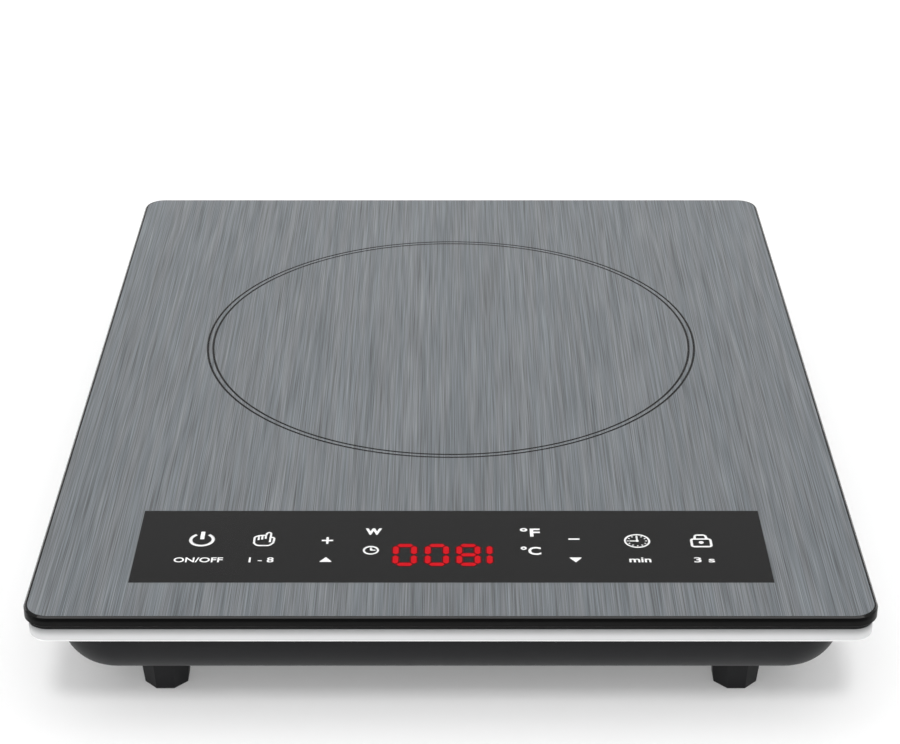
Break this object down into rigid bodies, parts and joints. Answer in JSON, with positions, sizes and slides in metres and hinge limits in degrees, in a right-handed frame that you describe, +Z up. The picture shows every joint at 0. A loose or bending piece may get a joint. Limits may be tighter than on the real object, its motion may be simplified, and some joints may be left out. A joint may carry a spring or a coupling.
{
  "type": "portable induction cooktop",
  "caption": "Flat portable induction hob with a glass-ceramic top, silver trim frame, black tub housing on tapered feet and an internal cooling fan.",
  "frame": {"origin": "centre of the object's footprint on the table, at the underside of the foot pads", "axes": "+X to the user's right, +Y towards the rear, +Z up; the touch panel is at the front, at -Y"},
  "size_m": [0.28, 0.35, 0.052],
  "materials": {
    "black_glass": "polished black glass-ceramic",
    "black_silicone": "soft black sealant",
    "silver_trim": "silver satin",
    "black_plastic": "fine matte grain",
    "black_rubber": "matte rubber",
    "zinc_steel": "zinc plated",
    "white_plastic": "natural",
    "brass": "plain",
    "green_board": "green solder mask",
    "core_steel": "stamped laminations",
    "copper": "enamelled copper",
    "ferrite": "sintered grey-black",
    "bright_steel": "ground",
    "mica": "pale mica",
    "white_silicone": "soft white",
    "aluminium": "extruded",
    "black_package": "moulded epoxy",
    "film_capacitor": "amber box",
    "blue_disc": "blue epoxy",
    "black_sleeve": "black sleeve",
    "black_foam": "conductive foam",
    "clear_light": "clear",
    "red_wire": "silicone-sleeved",
    "white_wire": "insulated"
  },
  "bodies": {
    "hob": {"glass_top": "black_glass", "glass_seal": "black_silicone", "trim_frame": "silver_trim", "lower_housing": "black_plastic", "foot_front_left": "black_plastic", "foot_front_right": "black_plastic", "foot_rear_left": "black_plastic", "foot_rear_right": "black_plastic", "foot_pad_front_left": "black_rubber", "foot_pad_front_right": "black_rubber", "foot_pad_rear_left": "black_rubber", "foot_pad_rear_right": "black_rubber", "case_screws": "zinc_steel", "cord_gland": "black_rubber", "terminal_block": "white_plastic", "terminal_screws": "zinc_steel", "fan_frame": "black_plastic", "fan_bearing": "brass", "fan_motor_board": "green_board", "fan_core": "core_steel", "fan_windings": "copper", "coil_carrier": "white_plastic", "coil_winding": "copper", "ferrite_bars": "ferrite", "mica_sheet": "mica", "coil_bushes": "white_silicone", "sensor_cup": "white_silicone", "temperature_sensor": "bright_steel", "coil_screws": "zinc_steel", "main_board": "green_board", "heat_sink": "aluminium", "power_transistor": "black_package", "bridge_rectifier": "black_package", "resonant_capacitor": "film_capacitor", "smoothing_capacitor": "film_capacitor", "mains_capacitor": "film_capacitor", "filter_choke": "copper", "current_transformer": "black_package", "controller_chips": "black_package", "varistor": "blue_disc", "supply_transformer": "ferrite", "electrolytic_capacitors": "black_sleeve", "mains_fuse": "white_plastic", "board_headers": "white_plastic", "coil_terminals": "brass", "board_screws": "zinc_steel", "control_bracket": "black_plastic", "control_board": "green_board", "display_module": "black_package", "touch_pads": "black_foam", "indicator_lights": "clear_light", "buzzer": "black_package", "control_screws": "zinc_steel", "power_leads": "red_wire", "signal_leads": "white_wire", "ribbon_cable": "white_wire"},
    "fan": {"fan_rotor": "black_plastic", "fan_magnet": "ferrite", "fan_shaft": "bright_steel"}
  },
  "joints": [
    {"name": "fan_spin", "type": "hinge", "parent": "hob", "child": "fan", "pos_m": [-0.06, 0, 0.03], "axis": [0, 0, 1], "continuous": true}
  ]
}
